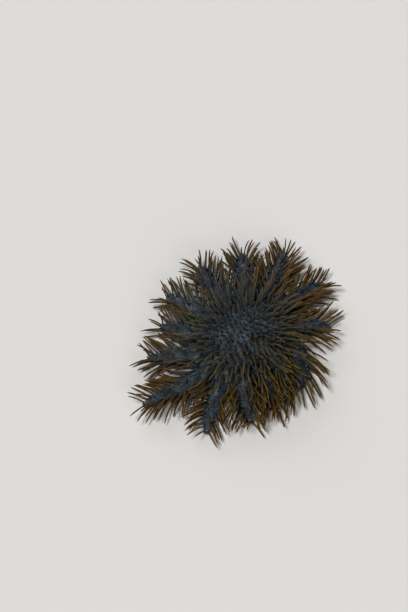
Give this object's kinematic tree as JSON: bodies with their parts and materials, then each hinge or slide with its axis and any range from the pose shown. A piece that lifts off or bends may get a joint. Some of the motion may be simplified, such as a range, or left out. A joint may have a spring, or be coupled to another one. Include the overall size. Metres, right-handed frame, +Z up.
{
  "type": "crown of thorns starfish",
  "caption": "Life-size still model of a crown-of-thorns starfish lying on a flat floor, its domed disc and curved arms covered in long tapered spines.",
  "frame": {"origin": "on the floor, under the middle of the whole animal's box; the disc's middle is about 12 mm from it, to the right and a little nearer", "axes": "+Z up out of the back; +Y away from the viewer of the picture; +X to the viewer's right"},
  "size_m": [0.2978, 0.3244, 0.0619],
  "materials": {
    "spiny_skin": "matt dark slate-blue skin, finely granular, with spines that turn rust brown towards their tips",
    "mouth_skin": "matt pale brown skin"
  },
  "bodies": {
    "root": {"disc": "spiny_skin", "mouth": "mouth_skin", "arm_01": "spiny_skin", "arm_02": "spiny_skin", "arm_03": "spiny_skin", "arm_04": "spiny_skin", "arm_05": "spiny_skin", "arm_06": "spiny_skin", "arm_07": "spiny_skin", "arm_08": "spiny_skin", "arm_09": "spiny_skin", "arm_10": "spiny_skin", "arm_11": "spiny_skin", "arm_12": "spiny_skin", "arm_13": "spiny_skin", "arm_14": "spiny_skin"}
  },
  "joints": []
}
